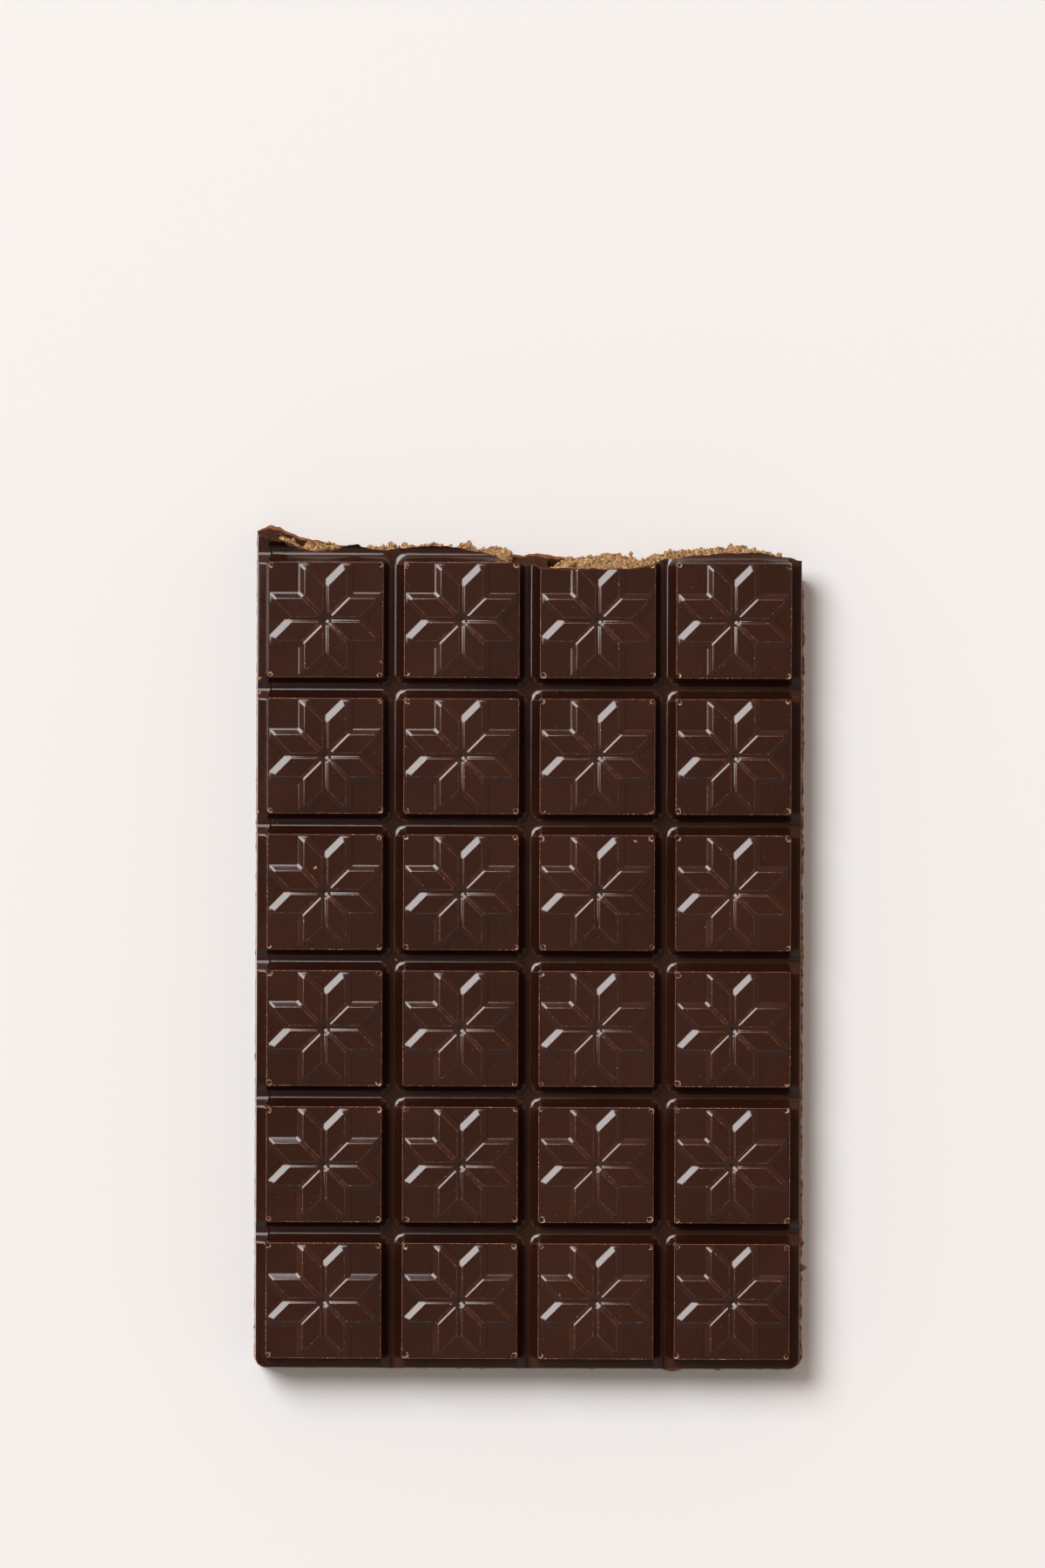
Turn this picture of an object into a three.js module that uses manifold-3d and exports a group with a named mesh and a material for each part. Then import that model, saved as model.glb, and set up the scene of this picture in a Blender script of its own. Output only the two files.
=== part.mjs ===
// A filled dark chocolate bar, snapped across at one of its grooves. Millimetres, +Z up.
// Four columns and six rows of squares are left, each with a raised eight-petalled star.
// The bar lies on its flat back. X runs across the columns and +Y points to the snapped end,
// where two strips of crumbly filling show between the moulded top and the poured back.

import * as THREE from "three";
import { mergeVertices } from "three/addons/utils/BufferGeometryUtils.js";
import Module from "manifold-3d";

const wasm = await Module();
wasm.setup();

// The moulded grid. The whole end's ledge starts at y = 0 while the bar is made.
const COLUMNS = 4;
const ROWS = 6;
const PITCH = 19.5; // from one square's middle to the next
const SQUARE = 16.5; // side of a square's flat top
const SQUARE_CORNER = 0.35; // corner radius of that top
const WIDTH = COLUMNS * PITCH; // of the bar at its ledge
const SNAP_Y = ROWS * PITCH; // middle of the groove that the bar snapped at

// Heights above the back
const TOP_Z = 8.5; // the squares' flat tops
const LEDGE_Z = 6.5; // the ledge round the squares
const FLOOR_Z = 5.4; // the grooves' floor
const NOTCH_Z = 5.7; // the floor of the notch where a groove runs out through the ledge
const SINK = 0.2; // how far a joined shape reaches into the one below it

// Side walls
const WALL_RUN = 0.62; // how far a square's steep wall spreads down to the ledge
const HOLLOW_RUN = 0.83; // how far the rounded foot below it spreads to the groove's floor
const HOLLOW_STEPS = 2;
const DRAFT_RUN = 0.35; // how far the bar's outer wall spreads down to the back
const BAR_CORNER = 1.5; // corner radius of the bar at the ledge
const BAR_ROUND = 0.15; // rounding of the ledge's outer edge
const CORNER_STEPS = 2;
const RIM_WIDTH = 1.1; // how far from the outer edge a groove's deep part ends
const RIM_RUN = 0.9; // how far that end slopes
const NOTCH_WIDTH = 3.0;
const NOTCH_STEPS = 6;

// The star: eight parallelograms in four mirrored pairs
const RELIEF = 0.4; // height of a petal over the square's top
const SLOPE_RUN = 0.8; // how far a petal's sides spread down to that top
const PETAL_FORK = 4.5; // where a pair's outer edges meet on the square's middle line
const PETAL_WIDTH = 3.0; // how far a petal reaches from that middle line
const VEIN = 0.43; // half the channel between the two petals of a pair
const DIAGONAL_VEIN = 0.3; // half the channel between two pairs
const PIT_RADIUS = 0.95; // the dimple in the middle of the star
const PIT_FLOOR_RADIUS = 0.3;
const PIT_DEPTH = 0.5;
const PIT_SIDES = 8;

// The fillings: one flat strip under each pair of columns
const FILL_LOW_Z = 1.7;
const FILL_HIGH_Z = 4.4;
const FILL_WEB = 2.8; // half the solid web along the bar's middle
const FILL_MARGIN = 3.1; // solid chocolate along the bar's sides and its whole end
const FILL_ROUND = 1.1; // corner radius of the strip's section
const FILL_STEPS = 3;
const GAP = 0.3; // between the filling and the chocolate

// The snapped face: how far it lies past the middle of the groove, at places across the bar.
// The back's edge sticks out as a lip at the left and lies under an overhang at the right.
const BACK_EDGE = [
  [-39.7, 3.0], [-38.4, 2.8], [-37.5, 3.9], [-32.8, 2.0], [-27.0, 0.9],
  [-12.0, 0.4], [6.0, -0.7], [22.0, -1.9], [39.7, -4.1],
];
const TOP_RIM = [
  [-39.7, 2.2], [-38.0, 2.0], [-35.5, 1.2], [-32.8, 0.1], [-29.5, -0.3], [-25.5, 0.9], [-20.0, 0.2],
  [-15.0, 0.75], [-9.0, -0.3], [-3.8, -1.6], [12.0, -2.5], [16.5, -2.0], [19.5, -0.8], [32.5, 0.4],
  [39.7, -0.9],
];
// How far the crumbly filling stands proud of the chocolate round it
const CRUMB_PROUD = [
  [-39.7, 0.0], [-30.0, 0.15], [-20.0, 0.6], [3.0, 0.9], [16.0, 1.1], [39.7, 0.7],
];
const RIM_Z = 7.0; // the height at which the face has reached the top rim's line
const FACE_GRAIN = { step: 1.6, lump: 2.6, rough: 0.22, seed: 11 };
const CRUMB_GRAIN = { step: 0.95, lump: 1.1, rough: 0.5, seed: 29 };
const CLEAR = 12; // how far a cutting block reaches past what it cuts

// Materials
const CHOCOLATE = { color: 0x3a1e14, roughness: 0.3, metalness: 0 };
const FILLING = { color: 0x97703f, roughness: 0.95, metalness: 0 };

// A closed three.js geometry as a solid that can be joined and cut.
function solid(geometry) {
  const bare = geometry.clone();
  bare.deleteAttribute("normal");
  bare.deleteAttribute("uv");
  const merged = mergeVertices(bare, 1e-4);
  const vertProperties = new Float32Array(merged.attributes.position.array);
  const triVerts = new Uint32Array(merged.index.array);
  return new wasm.Manifold(new wasm.Mesh({ numProp: 3, vertProperties, triVerts }));
}

// A solid back as a three.js geometry with flat faces.
function geometryOf(piece) {
  const mesh = piece.getMesh();
  const geometry = new THREE.BufferGeometry();
  geometry.setAttribute("position", new THREE.Float32BufferAttribute(mesh.vertProperties, 3));
  geometry.setIndex(new THREE.Uint32BufferAttribute(mesh.triVerts, 1));
  const flat = geometry.toNonIndexed();
  flat.computeVertexNormals();
  return flat;
}

// A closed skin over level rings of points. The rings have one count, start with the lowest,
// and run counter-clockwise as seen from above.
function loft(rings) {
  const count = rings[0].length;
  const faces = [];
  for (let level = 0; level + 1 < rings.length; level++) {
    for (let i = 0; i < count; i++) {
      const a = level * count + i;
      const b = level * count + ((i + 1) % count);
      faces.push(a, b, b + count, a, b + count, a + count);
    }
  }
  const outline = rings[0].map(([x, y]) => new THREE.Vector2(x, y));
  const roof = (rings.length - 1) * count;
  for (const [a, b, c] of THREE.ShapeUtils.triangulateShape(outline, [])) {
    faces.push(a, c, b, roof + a, roof + b, roof + c);
  }
  const geometry = new THREE.BufferGeometry();
  geometry.setAttribute("position", new THREE.Float32BufferAttribute(rings.flat(2), 3));
  geometry.setIndex(faces);
  return geometry;
}

// A level ring with rounded corners, grown outwards by a distance on every side.
function roundedRing(low, high, radius, grow, z) {
  const r = radius + grow;
  const corners = [
    [high[0] - radius, low[1] + radius, -90],
    [high[0] - radius, high[1] - radius, 0],
    [low[0] + radius, high[1] - radius, 90],
    [low[0] + radius, low[1] + radius, 180],
  ];
  return corners.flatMap(([x, y, start]) =>
    Array.from({ length: CORNER_STEPS + 1 }, (_, i) => {
      const angle = THREE.MathUtils.degToRad(start + (90 * i) / CORNER_STEPS);
      return [x + r * Math.cos(angle), y + r * Math.sin(angle), z];
    }),
  );
}

// A level square ring about the middle.
function squareRing(half, z) {
  return [[-half, -half, z], [half, -half, z], [half, half, z], [-half, half, z]];
}

// A square in the middle of its cell, with steep walls on a rounded foot.
function plainSquare() {
  const half = SQUARE / 2;
  const ring = (grow, z) => roundedRing([-half, -half], [half, half], SQUARE_CORNER, grow, z);
  const rings = [ring(WALL_RUN + HOLLOW_RUN, FLOOR_Z - SINK)];
  for (let i = HOLLOW_STEPS; i >= 0; i--) {
    const angle = ((i / HOLLOW_STEPS) * Math.PI) / 2;
    const z = LEDGE_Z - (LEDGE_Z - FLOOR_Z) * Math.sin(angle);
    rings.push(ring(WALL_RUN + HOLLOW_RUN * (1 - Math.cos(angle)), z));
  }
  rings.push(ring(0, TOP_Z));
  return loft(rings);
}

// The plan of one petal, grown outwards by a distance. Its long sides run along the square's
// middle line, and its short sides at 45 degrees to it. Side is 1 or -1 for the mirrored petal.
function petalRing(side, grow, z) {
  const slant = grow * Math.SQRT2;
  const near = VEIN - grow;
  const far = PETAL_WIDTH + grow;
  const inner = (x) => x + DIAGONAL_VEIN * Math.SQRT2 - slant;
  const outer = (x) => x + PETAL_FORK + slant;
  const ring = [[near, inner(near)], [far, inner(far)], [far, outer(far)], [near, outer(near)]];
  const placed = ring.map(([x, y]) => [side * x, y, z]);
  return side > 0 ? placed : placed.reverse();
}

// A square with its star. The petals' slopes end at the edge of its flat top.
function starredSquare() {
  const half = SQUARE / 2;
  const room = loft([
    squareRing(half, TOP_Z - 2 * SINK),
    squareRing(half, TOP_Z),
    squareRing(half - SLOPE_RUN, TOP_Z + RELIEF),
  ]);
  const foot = SLOPE_RUN * (1 + SINK / RELIEF);
  let star = null;
  for (const side of [1, -1]) {
    const petal = loft([petalRing(side, foot, TOP_Z - SINK), petalRing(side, 0, TOP_Z + RELIEF)]);
    for (let turn = 0; turn < 4; turn++) {
      const placed = solid(petal.clone().rotateZ((turn * Math.PI) / 2));
      star = star ? star.add(placed) : placed;
    }
  }
  const mouth = 2 * PIT_RADIUS - PIT_FLOOR_RADIUS;
  const pit = new THREE.CylinderGeometry(mouth, PIT_FLOOR_RADIUS, 2 * PIT_DEPTH, PIT_SIDES);
  pit.rotateX(Math.PI / 2).translate(0, 0, TOP_Z + RELIEF);
  return geometryOf(solid(plainSquare()).add(star.intersect(solid(room))).subtract(solid(pit)));
}

// The slab under the squares, one row too long: the ledge all round, a basin inside it as deep
// as the grooves, and the notches where the grooves run out.
function slab() {
  const low = [-WIDTH / 2, 0];
  const high = [WIDTH / 2, SNAP_Y + PITCH];
  const ring = (radius, grow, z) => roundedRing(low, high, radius, grow, z);
  const block = loft([
    ring(BAR_CORNER, DRAFT_RUN, 0),
    ring(BAR_CORNER, 0, LEDGE_Z - BAR_ROUND),
    ring(BAR_CORNER, -BAR_ROUND, LEDGE_Z),
  ]);
  const inside = BAR_CORNER + RIM_WIDTH;
  const basin = loft([
    ring(inside, -RIM_WIDTH - RIM_RUN, FLOOR_Z),
    ring(inside, -RIM_WIDTH, LEDGE_Z + SINK),
  ]);
  let body = solid(block).subtract(solid(basin));

  const section = new THREE.Shape();
  section.absellipse(0, LEDGE_Z, NOTCH_WIDTH / 2, LEDGE_Z - NOTCH_Z, Math.PI, 2 * Math.PI);
  section.lineTo(NOTCH_WIDTH / 2, LEDGE_Z + SINK);
  section.lineTo(-NOTCH_WIDTH / 2, LEDGE_Z + SINK);
  const inner = RIM_WIDTH + RIM_RUN;
  const steps = { depth: inner + DRAFT_RUN, bevelEnabled: false, curveSegments: NOTCH_STEPS };
  const notch = new THREE.ExtrudeGeometry(section, steps).rotateX(Math.PI / 2);
  notch.translate(0, inner, 0);
  for (let column = 1; column < COLUMNS; column++) {
    body = body.subtract(solid(notch.clone().translate((column - COLUMNS / 2) * PITCH, 0, 0)));
  }
  for (const side of [-1, 1]) {
    const turned = notch.clone().translate(0, -WIDTH / 2, 0).rotateZ((side * Math.PI) / 2);
    for (let row = 1; row <= ROWS; row++) {
      body = body.subtract(solid(turned.clone().translate(0, row * PITCH, 0)));
    }
  }
  return body;
}

// One strip of filling, or the hollow that it lies in when it is grown by the gap.
function strip(side, grow) {
  const inner = FILL_WEB - grow;
  const outer = WIDTH / 2 - FILL_MARGIN + grow;
  const low = FILL_LOW_Z - grow;
  const high = FILL_HIGH_Z + grow;
  const r = FILL_ROUND + grow;
  const section = new THREE.Shape();
  section.absarc(outer - r, low + r, r, -Math.PI / 2, 0);
  section.absarc(outer - r, high - r, r, 0, Math.PI / 2);
  section.absarc(inner + r, high - r, r, Math.PI / 2, Math.PI);
  section.absarc(inner + r, low + r, r, Math.PI, (3 * Math.PI) / 2);
  const depth = SNAP_Y + CLEAR - FILL_MARGIN + grow;
  const options = { depth, bevelEnabled: false, curveSegments: FILL_STEPS };
  const bar = new THREE.ExtrudeGeometry(section, options).rotateX(Math.PI / 2);
  bar.translate(side < 0 ? -inner - outer : 0, SNAP_Y + CLEAR, 0);
  return solid(bar);
}

// A value read off a list of places and values, eased from one to the next.
function along(list, x) {
  const next = Math.max(1, list.findIndex(([place]) => place >= x));
  const [[x0, y0], [x1, y1]] = [list[next - 1], list[next]];
  return y0 + (y1 - y0) * THREE.MathUtils.smoothstep(x, x0, x1);
}

// A repeatable number from -1 to 1 for a whole-number place.
function draw(i, j, seed) {
  const wave = Math.sin(i * 127.1 + j * 311.7 + seed * 74.7) * 43758.5453;
  return 2 * (wave - Math.floor(wave)) - 1;
}

// Smooth lumps from -1 to 1, about one unit across.
function lumps(x, z, seed) {
  const [i, j] = [Math.floor(x), Math.floor(z)];
  const [u, v] = [x - i, z - j].map((t) => t * t * (3 - 2 * t));
  const low = THREE.MathUtils.lerp(draw(i, j, seed), draw(i + 1, j, seed), u);
  const high = THREE.MathUtils.lerp(draw(i, j + 1, seed), draw(i + 1, j + 1, seed), u);
  return THREE.MathUtils.lerp(low, high, v);
}

// What was snapped off: everything past a rough face, which leans from the back's edge at the
// bottom to the rim's line at the top. Proud is how far the face stands out at each place.
function snappedOff(grain, proud) {
  const reach = WIDTH / 2 + CLEAR / 4;
  const far = SNAP_Y + 2 * PITCH;
  const across = Math.ceil((2 * reach) / grain.step);
  const places = Array.from({ length: across + 1 }, (_, i) => -reach + (2 * reach * i) / across);
  const ring = (z, faceAt) => [
    ...places.map((x) => [x, faceAt(x), z]),
    [reach, far, z],
    [-reach, far, z],
  ];
  const rings = [ring(-CLEAR / 4, () => SNAP_Y)];
  for (let z = -grain.step / 3; z < TOP_Z + RELIEF + grain.step; z += grain.step) {
    const share = THREE.MathUtils.smoothstep(z, 0, RIM_Z);
    rings.push(
      ring(z, (x) => {
        const lean = THREE.MathUtils.lerp(along(BACK_EDGE, x), along(TOP_RIM, x), share);
        const rough = grain.rough * lumps(x / grain.lump, z / grain.lump, grain.seed);
        return SNAP_Y + lean + rough + along(proud, x);
      }),
    );
  }
  rings.push(ring(TOP_Z + CLEAR / 2, () => SNAP_Y));
  return solid(loft(rings));
}

// The chocolate: slab and squares in one, hollowed for the fillings and snapped.
function chocolate() {
  let body = slab();
  const starred = starredSquare();
  const plain = plainSquare();
  for (let column = 0; column < COLUMNS; column++) {
    for (let row = 0; row <= ROWS; row++) {
      const square = row < ROWS ? starred : plain;
      const x = (column + 0.5) * PITCH - WIDTH / 2;
      body = body.add(solid(square.clone().translate(x, (row + 0.5) * PITCH, 0)));
    }
  }
  for (const side of [-1, 1]) {
    body = body.subtract(strip(side, GAP));
  }
  return body.subtract(snappedOff(FACE_GRAIN, [[-WIDTH, 0], [WIDTH, 0]]));
}

function named(name, piece, finish) {
  const mesh = new THREE.Mesh(geometryOf(piece), new THREE.MeshStandardMaterial(finish));
  mesh.name = name;
  return mesh;
}

const bar = new THREE.Group();
bar.add(named("chocolate", chocolate(), CHOCOLATE));
const crumbFace = snappedOff(CRUMB_GRAIN, CRUMB_PROUD);
bar.add(named("filling_left", strip(-1, 0).subtract(crumbFace), FILLING));
bar.add(named("filling_right", strip(1, 0).subtract(crumbFace), FILLING));

// The origin goes to the middle of the back.
const middle = new THREE.Box3().setFromObject(bar, true).getCenter(new THREE.Vector3());
bar.position.set(-middle.x, -middle.y, 0);

export default bar;
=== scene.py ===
import math
import random

import bmesh
import bpy
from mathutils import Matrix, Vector, noise


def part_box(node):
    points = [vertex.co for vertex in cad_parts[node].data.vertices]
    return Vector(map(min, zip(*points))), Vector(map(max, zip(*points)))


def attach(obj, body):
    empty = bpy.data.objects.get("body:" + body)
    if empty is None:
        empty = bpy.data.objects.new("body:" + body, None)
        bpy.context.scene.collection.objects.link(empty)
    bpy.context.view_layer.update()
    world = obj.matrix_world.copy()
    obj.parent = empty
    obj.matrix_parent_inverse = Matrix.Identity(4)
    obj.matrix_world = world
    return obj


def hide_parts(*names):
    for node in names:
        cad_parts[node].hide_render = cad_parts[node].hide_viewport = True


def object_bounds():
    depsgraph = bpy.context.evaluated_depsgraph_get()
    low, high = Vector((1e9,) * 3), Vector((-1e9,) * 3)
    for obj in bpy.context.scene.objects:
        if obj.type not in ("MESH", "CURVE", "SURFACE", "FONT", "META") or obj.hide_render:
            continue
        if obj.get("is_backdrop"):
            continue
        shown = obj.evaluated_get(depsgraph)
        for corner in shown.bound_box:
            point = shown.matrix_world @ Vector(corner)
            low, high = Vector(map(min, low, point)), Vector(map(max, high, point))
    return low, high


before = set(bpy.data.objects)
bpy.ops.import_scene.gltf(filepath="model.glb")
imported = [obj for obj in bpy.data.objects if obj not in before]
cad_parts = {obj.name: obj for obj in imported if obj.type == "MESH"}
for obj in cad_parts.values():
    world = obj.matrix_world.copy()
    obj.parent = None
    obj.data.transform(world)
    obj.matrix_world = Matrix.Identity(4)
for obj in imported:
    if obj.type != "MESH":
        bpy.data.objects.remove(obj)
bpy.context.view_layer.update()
bpy.ops.object.select_all(action="DESELECT")

# One square. Dark chocolate set in a polished mould: a flat top on steep walls, which run out
# in a round hollow. It starts as a plane with rounded corners, and each step up is an inset.
MM = 0.001
PITCH = 19.5 * MM  # from one square's middle to the next
SQUARE = 16.5 * MM  # side of the flat top
SQUARE_CORNER = 0.35 * MM
TOP_Z = 8.5 * MM
LEDGE_Z = 6.5 * MM  # the slab's rim outside the squares
FLOOR_Z = 5.4 * MM
SINK = 0.2 * MM  # how far a joined shape reaches into the one below it
WALL_RUN = 0.37 * MM
HOLLOW_RUN = 1.1 * MM
HOLLOW_TOP_Z = 6.4 * MM
HOLLOW_TURN = math.radians(80)  # how steep the hollow is where the wall begins
HOLLOW_STEPS = 9
CORNER_STEPS = 6
FOOT_RUN = WALL_RUN + HOLLOW_RUN


def settled(name):
    """Names the primitive that was just added, and moves its place into its mesh."""
    piece = bpy.context.object
    piece.name = name
    bpy.ops.object.transform_apply(location=True, rotation=True, scale=True)
    return piece


def into_edit():
    """Opens the active piece in edit mode with all of it selected."""
    bpy.ops.object.mode_set(mode="EDIT")
    bpy.ops.mesh.select_all(action="SELECT")


def close_and_leave():
    """Fills the open bottom, turns the skin outwards and leaves edit mode."""
    bpy.ops.mesh.select_mode(type="EDGE")
    bpy.ops.mesh.select_all(action="DESELECT")
    bpy.ops.mesh.select_non_manifold()
    bpy.ops.mesh.edge_face_add()
    bpy.ops.mesh.select_mode(type="FACE")
    bpy.ops.mesh.select_all(action="SELECT")
    bpy.ops.mesh.normals_make_consistent(inside=False)
    bpy.ops.object.mode_set(mode="OBJECT")


def carve(piece, tool, operation):
    """Joins a tool to a piece, or cuts the piece with it, and clears the tool away."""
    step = piece.modifiers.new("carve", "BOOLEAN")
    step.operation = operation
    step.solver = "MANIFOLD"
    step.material_mode = "TRANSFER"
    step.object = tool
    bpy.context.view_layer.objects.active = piece
    bpy.ops.object.modifier_apply(modifier=step.name)
    bpy.data.objects.remove(tool)


def copy_of(piece, name):
    """A copy with a mesh of its own, as the only piece that is selected."""
    bpy.ops.object.select_all(action="DESELECT")
    twin = piece.copy()
    twin.data = piece.data.copy()
    twin.name = name
    bpy.context.collection.objects.link(twin)
    twin.select_set(True)
    bpy.context.view_layer.objects.active = twin
    return twin


bpy.ops.mesh.primitive_plane_add(size=SQUARE + 2 * FOOT_RUN, location=(0, 0, FLOOR_Z))
square = settled("square")
into_edit()
bpy.ops.mesh.bevel(affect="VERTICES", offset=SQUARE_CORNER + FOOT_RUN, segments=CORNER_STEPS)
bpy.ops.mesh.select_all(action="SELECT")
run, height = FOOT_RUN, FLOOR_Z
for step in range(1, HOLLOW_STEPS + 1):
    angle = HOLLOW_TURN * step / HOLLOW_STEPS
    next_run = WALL_RUN + HOLLOW_RUN * (1 - math.sin(angle) / math.sin(HOLLOW_TURN))
    rise = (1 - math.cos(angle)) / (1 - math.cos(HOLLOW_TURN))
    next_height = FLOOR_Z + (HOLLOW_TOP_Z - FLOOR_Z) * rise
    bpy.ops.mesh.inset(thickness=run - next_run, depth=next_height - height)
    run, height = next_run, next_height
bpy.ops.mesh.inset(thickness=WALL_RUN, depth=TOP_Z - HOLLOW_TOP_Z)
bpy.ops.mesh.select_mode(type="EDGE")
bpy.ops.mesh.select_all(action="DESELECT")
bpy.ops.mesh.select_non_manifold()
bpy.ops.mesh.extrude_region_move(TRANSFORM_OT_translate={"value": (0, 0, -SINK)})
close_and_leave()

# The star on the square: eight parallelograms in low relief, in four mirrored pairs, with a
# dimple where they meet. A petal is a plane cut to its outline and raised by one inset.
RELIEF = 0.4 * MM
SLOPE_RUN = 0.8 * MM
PETAL_FORK = 4.5 * MM  # where a pair's outer edges meet on the square's middle line
PETAL_WIDTH = 3.0 * MM
VEIN = 0.4 * MM  # half the channel between the two petals of a pair
DIAGONAL_VEIN = 0.3 * MM  # half the channel between two pairs
TIP_RUN = 0.75 * MM  # the slope at a petal's tip
TIP_MARGIN = 0.32 * MM  # what is left flat between that slope and the square's edge
DIMPLE_RADIUS = 1.1 * MM
DIMPLE_FLOOR_RADIUS = 0.35 * MM
DIMPLE_DEPTH = 0.5 * MM
CREASE_ROUND = 0.32 * MM  # where two slopes meet in a hollow that runs downhill
FOOT_ROUND = 0.21 * MM  # where a slope runs into the surface under it
EDGE_ROUND = 0.07 * MM  # where it runs into the surface above
EDGE_STEPS = 3
SHARP = math.radians(12)  # an edge that turns less than this isn't rounded
DOWNHILL_RISE = 0.3 * RELIEF  # a crease that climbs more than this runs downhill
WELD = 0.01 * MM  # corners closer than this are one
FINE_WELD = 0.004 * MM
FLAT = math.radians(1)
petal_foot = SLOPE_RUN * (1 + SINK / RELIEF)
plain = copy_of(square, "plain_square")
bpy.ops.object.select_all(action="DESELECT")

bpy.ops.mesh.primitive_plane_add(size=SQUARE - 2 * TIP_MARGIN, location=(0, 0, TOP_Z - 2 * SINK))
tip_block = settled("tip_block")
into_edit()
bpy.ops.mesh.extrude_region_move(TRANSFORM_OT_translate={"value": (0, 0, 2 * SINK)})
bpy.ops.mesh.inset(thickness=TIP_RUN, depth=RELIEF)
close_and_leave()


def trim(point, outward):
    """Cuts off what lies past a plane, of the whole mesh in edit mode."""
    bpy.ops.mesh.select_all(action="SELECT")
    bpy.ops.mesh.bisect(plane_co=point, plane_no=outward, clear_outer=True)


bpy.ops.mesh.primitive_plane_add(size=2 * PITCH, location=(0, 0, TOP_Z - SINK))
petal = settled("petal")
into_edit()
slant = petal_foot * math.sqrt(2)
trim((VEIN - petal_foot, 0, 0), (-1, 0, 0))
trim((PETAL_WIDTH + petal_foot, 0, 0), (1, 0, 0))
trim((0, DIAGONAL_VEIN * math.sqrt(2) - slant, 0), (1, -1, 0))
trim((0, PETAL_FORK + slant, 0), (-1, 1, 0))
bpy.ops.mesh.select_mode(type="FACE")
bpy.ops.mesh.select_all(action="SELECT")
bpy.ops.mesh.inset(thickness=petal_foot, depth=RELIEF + SINK)
close_and_leave()
carve(petal, tip_block, "INTERSECT")

for mirrored in (False, True):
    for turn in range(4):
        one = copy_of(petal, "petal_copy")
        into_edit()
        if mirrored:
            bpy.ops.transform.resize(value=(-1, 1, 1), center_override=(0, 0, 0))
            bpy.ops.mesh.normals_make_consistent(inside=False)
        bpy.ops.transform.rotate(value=turn * math.pi / 2, orient_axis="Z", center_override=(0, 0, 0))
        bpy.ops.object.mode_set(mode="OBJECT")
        carve(square, one, "UNION")
bpy.data.objects.remove(petal)

dimple_rise = DIMPLE_RADIUS - DIMPLE_FLOOR_RADIUS
bpy.ops.mesh.primitive_cone_add(
    vertices=24,
    radius1=DIMPLE_FLOOR_RADIUS,
    radius2=DIMPLE_FLOOR_RADIUS + 2 * dimple_rise,
    depth=2 * DIMPLE_DEPTH,
    location=(0, 0, TOP_Z + RELIEF),
)
carve(square, settled("dimple"), "DIFFERENCE")

bpy.ops.object.select_all(action="DESELECT")
square.select_set(True)
bpy.context.view_layer.objects.active = square
into_edit()
bpy.ops.mesh.remove_doubles(threshold=WELD)
bpy.ops.mesh.dissolve_limited(angle_limit=FLAT)
bpy.ops.object.mode_set(mode="OBJECT")
skin = bmesh.new()
skin.from_mesh(square.data)
weight = skin.edges.layers.float.new("bevel_weight_edge")
for edge in skin.edges:
    turn = edge.calc_face_angle_signed()
    ends = [vertex.co for vertex in edge.verts]
    if ends[0].z < TOP_Z - SINK or abs(turn) < SHARP:
        continue
    outside_dimple = ends[0].xy.length > 2 * DIMPLE_RADIUS
    if outside_dimple and abs(ends[0].z - ends[1].z) > DOWNHILL_RISE:
        edge[weight] = 1 if turn < 0 else FOOT_ROUND / CREASE_ROUND
    else:
        edge[weight] = (FOOT_ROUND if turn < 0 else EDGE_ROUND) / CREASE_ROUND
skin.to_mesh(square.data)
skin.free()
rounding = square.modifiers.new("rounding", "BEVEL")
rounding.width = CREASE_ROUND
rounding.segments = EDGE_STEPS
rounding.limit_method = "WEIGHT"
rounding.use_clamp_overlap = False
rounding.material = 1
moulded_finish = bpy.data.materials.new("moulded_chocolate")
rubbed_finish = bpy.data.materials.new("rubbed_edge")
soft_finish = bpy.data.materials.new("soft_edge")
square.data.materials.clear()
square.data.materials.append(moulded_finish)
square.data.materials.append(rubbed_finish)
square.data.materials.append(soft_finish)
plain.data.materials.append(moulded_finish)
bpy.ops.object.modifier_apply(modifier=rounding.name)
into_edit()
bpy.ops.mesh.remove_doubles(threshold=FINE_WELD)
bpy.ops.object.mode_set(mode="OBJECT")

# Edges that a wrapper rubs are worn pale: most of all the rim of the flat top, and faintly the
# petals' tops.
SOFT_TOP_Z = TOP_Z + 0.8 * RELIEF
RUBBED_RIM = SQUARE / 2 - 0.12 * MM  # how far out from a square's middle its rim begins
for face in square.data.polygons:
    from_middle = max(abs(face.center.x), abs(face.center.y))
    if from_middle > RUBBED_RIM and face.center.z > TOP_Z - EDGE_ROUND:
        face.material_index = 1
    elif face.material_index == 1 and face.center.z > SOFT_TOP_Z and from_middle > DIMPLE_RADIUS:
        face.material_index = 2
    else:
        face.material_index = 0

# The slab under the squares, poured flat at the back: a ledge all round, a basin as deep as the
# grooves inside it, and a notch wherever a groove runs out. It is one row too long at first.
COLUMNS = 4
ROWS = 6
WIDTH = COLUMNS * PITCH
DRAFT_RUN = 0.35 * MM  # how far the outer wall spreads down to the back
BAR_CORNER = 1.5 * MM
BAR_CORNER_STEPS = 8
BAR_ROUND = 0.15 * MM
BAR_ROUND_STEPS = 3
LEDGE_RUN = 0.75 * MM
LEDGE_FALL = 0.02 * MM  # the ledge falls this much from the squares to its edge
RIM_WIDTH = 1.1 * MM  # how far from the outer edge a groove's deep part ends
RIM_RUN = 0.9 * MM
NOTCH_HALF = 2.0 * MM  # from a notch's middle to where it has run out
NOTCH_Z = 5.7 * MM
NOTCH_STEPS = 24
NOTCH_LIFT = 0.01 * MM  # keeps its run-out off the ledge's own plane
whole_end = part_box("chocolate")[0].y + DRAFT_RUN
snap_y = whole_end + ROWS * PITCH
long_side = (ROWS + 1) * PITCH


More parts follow.
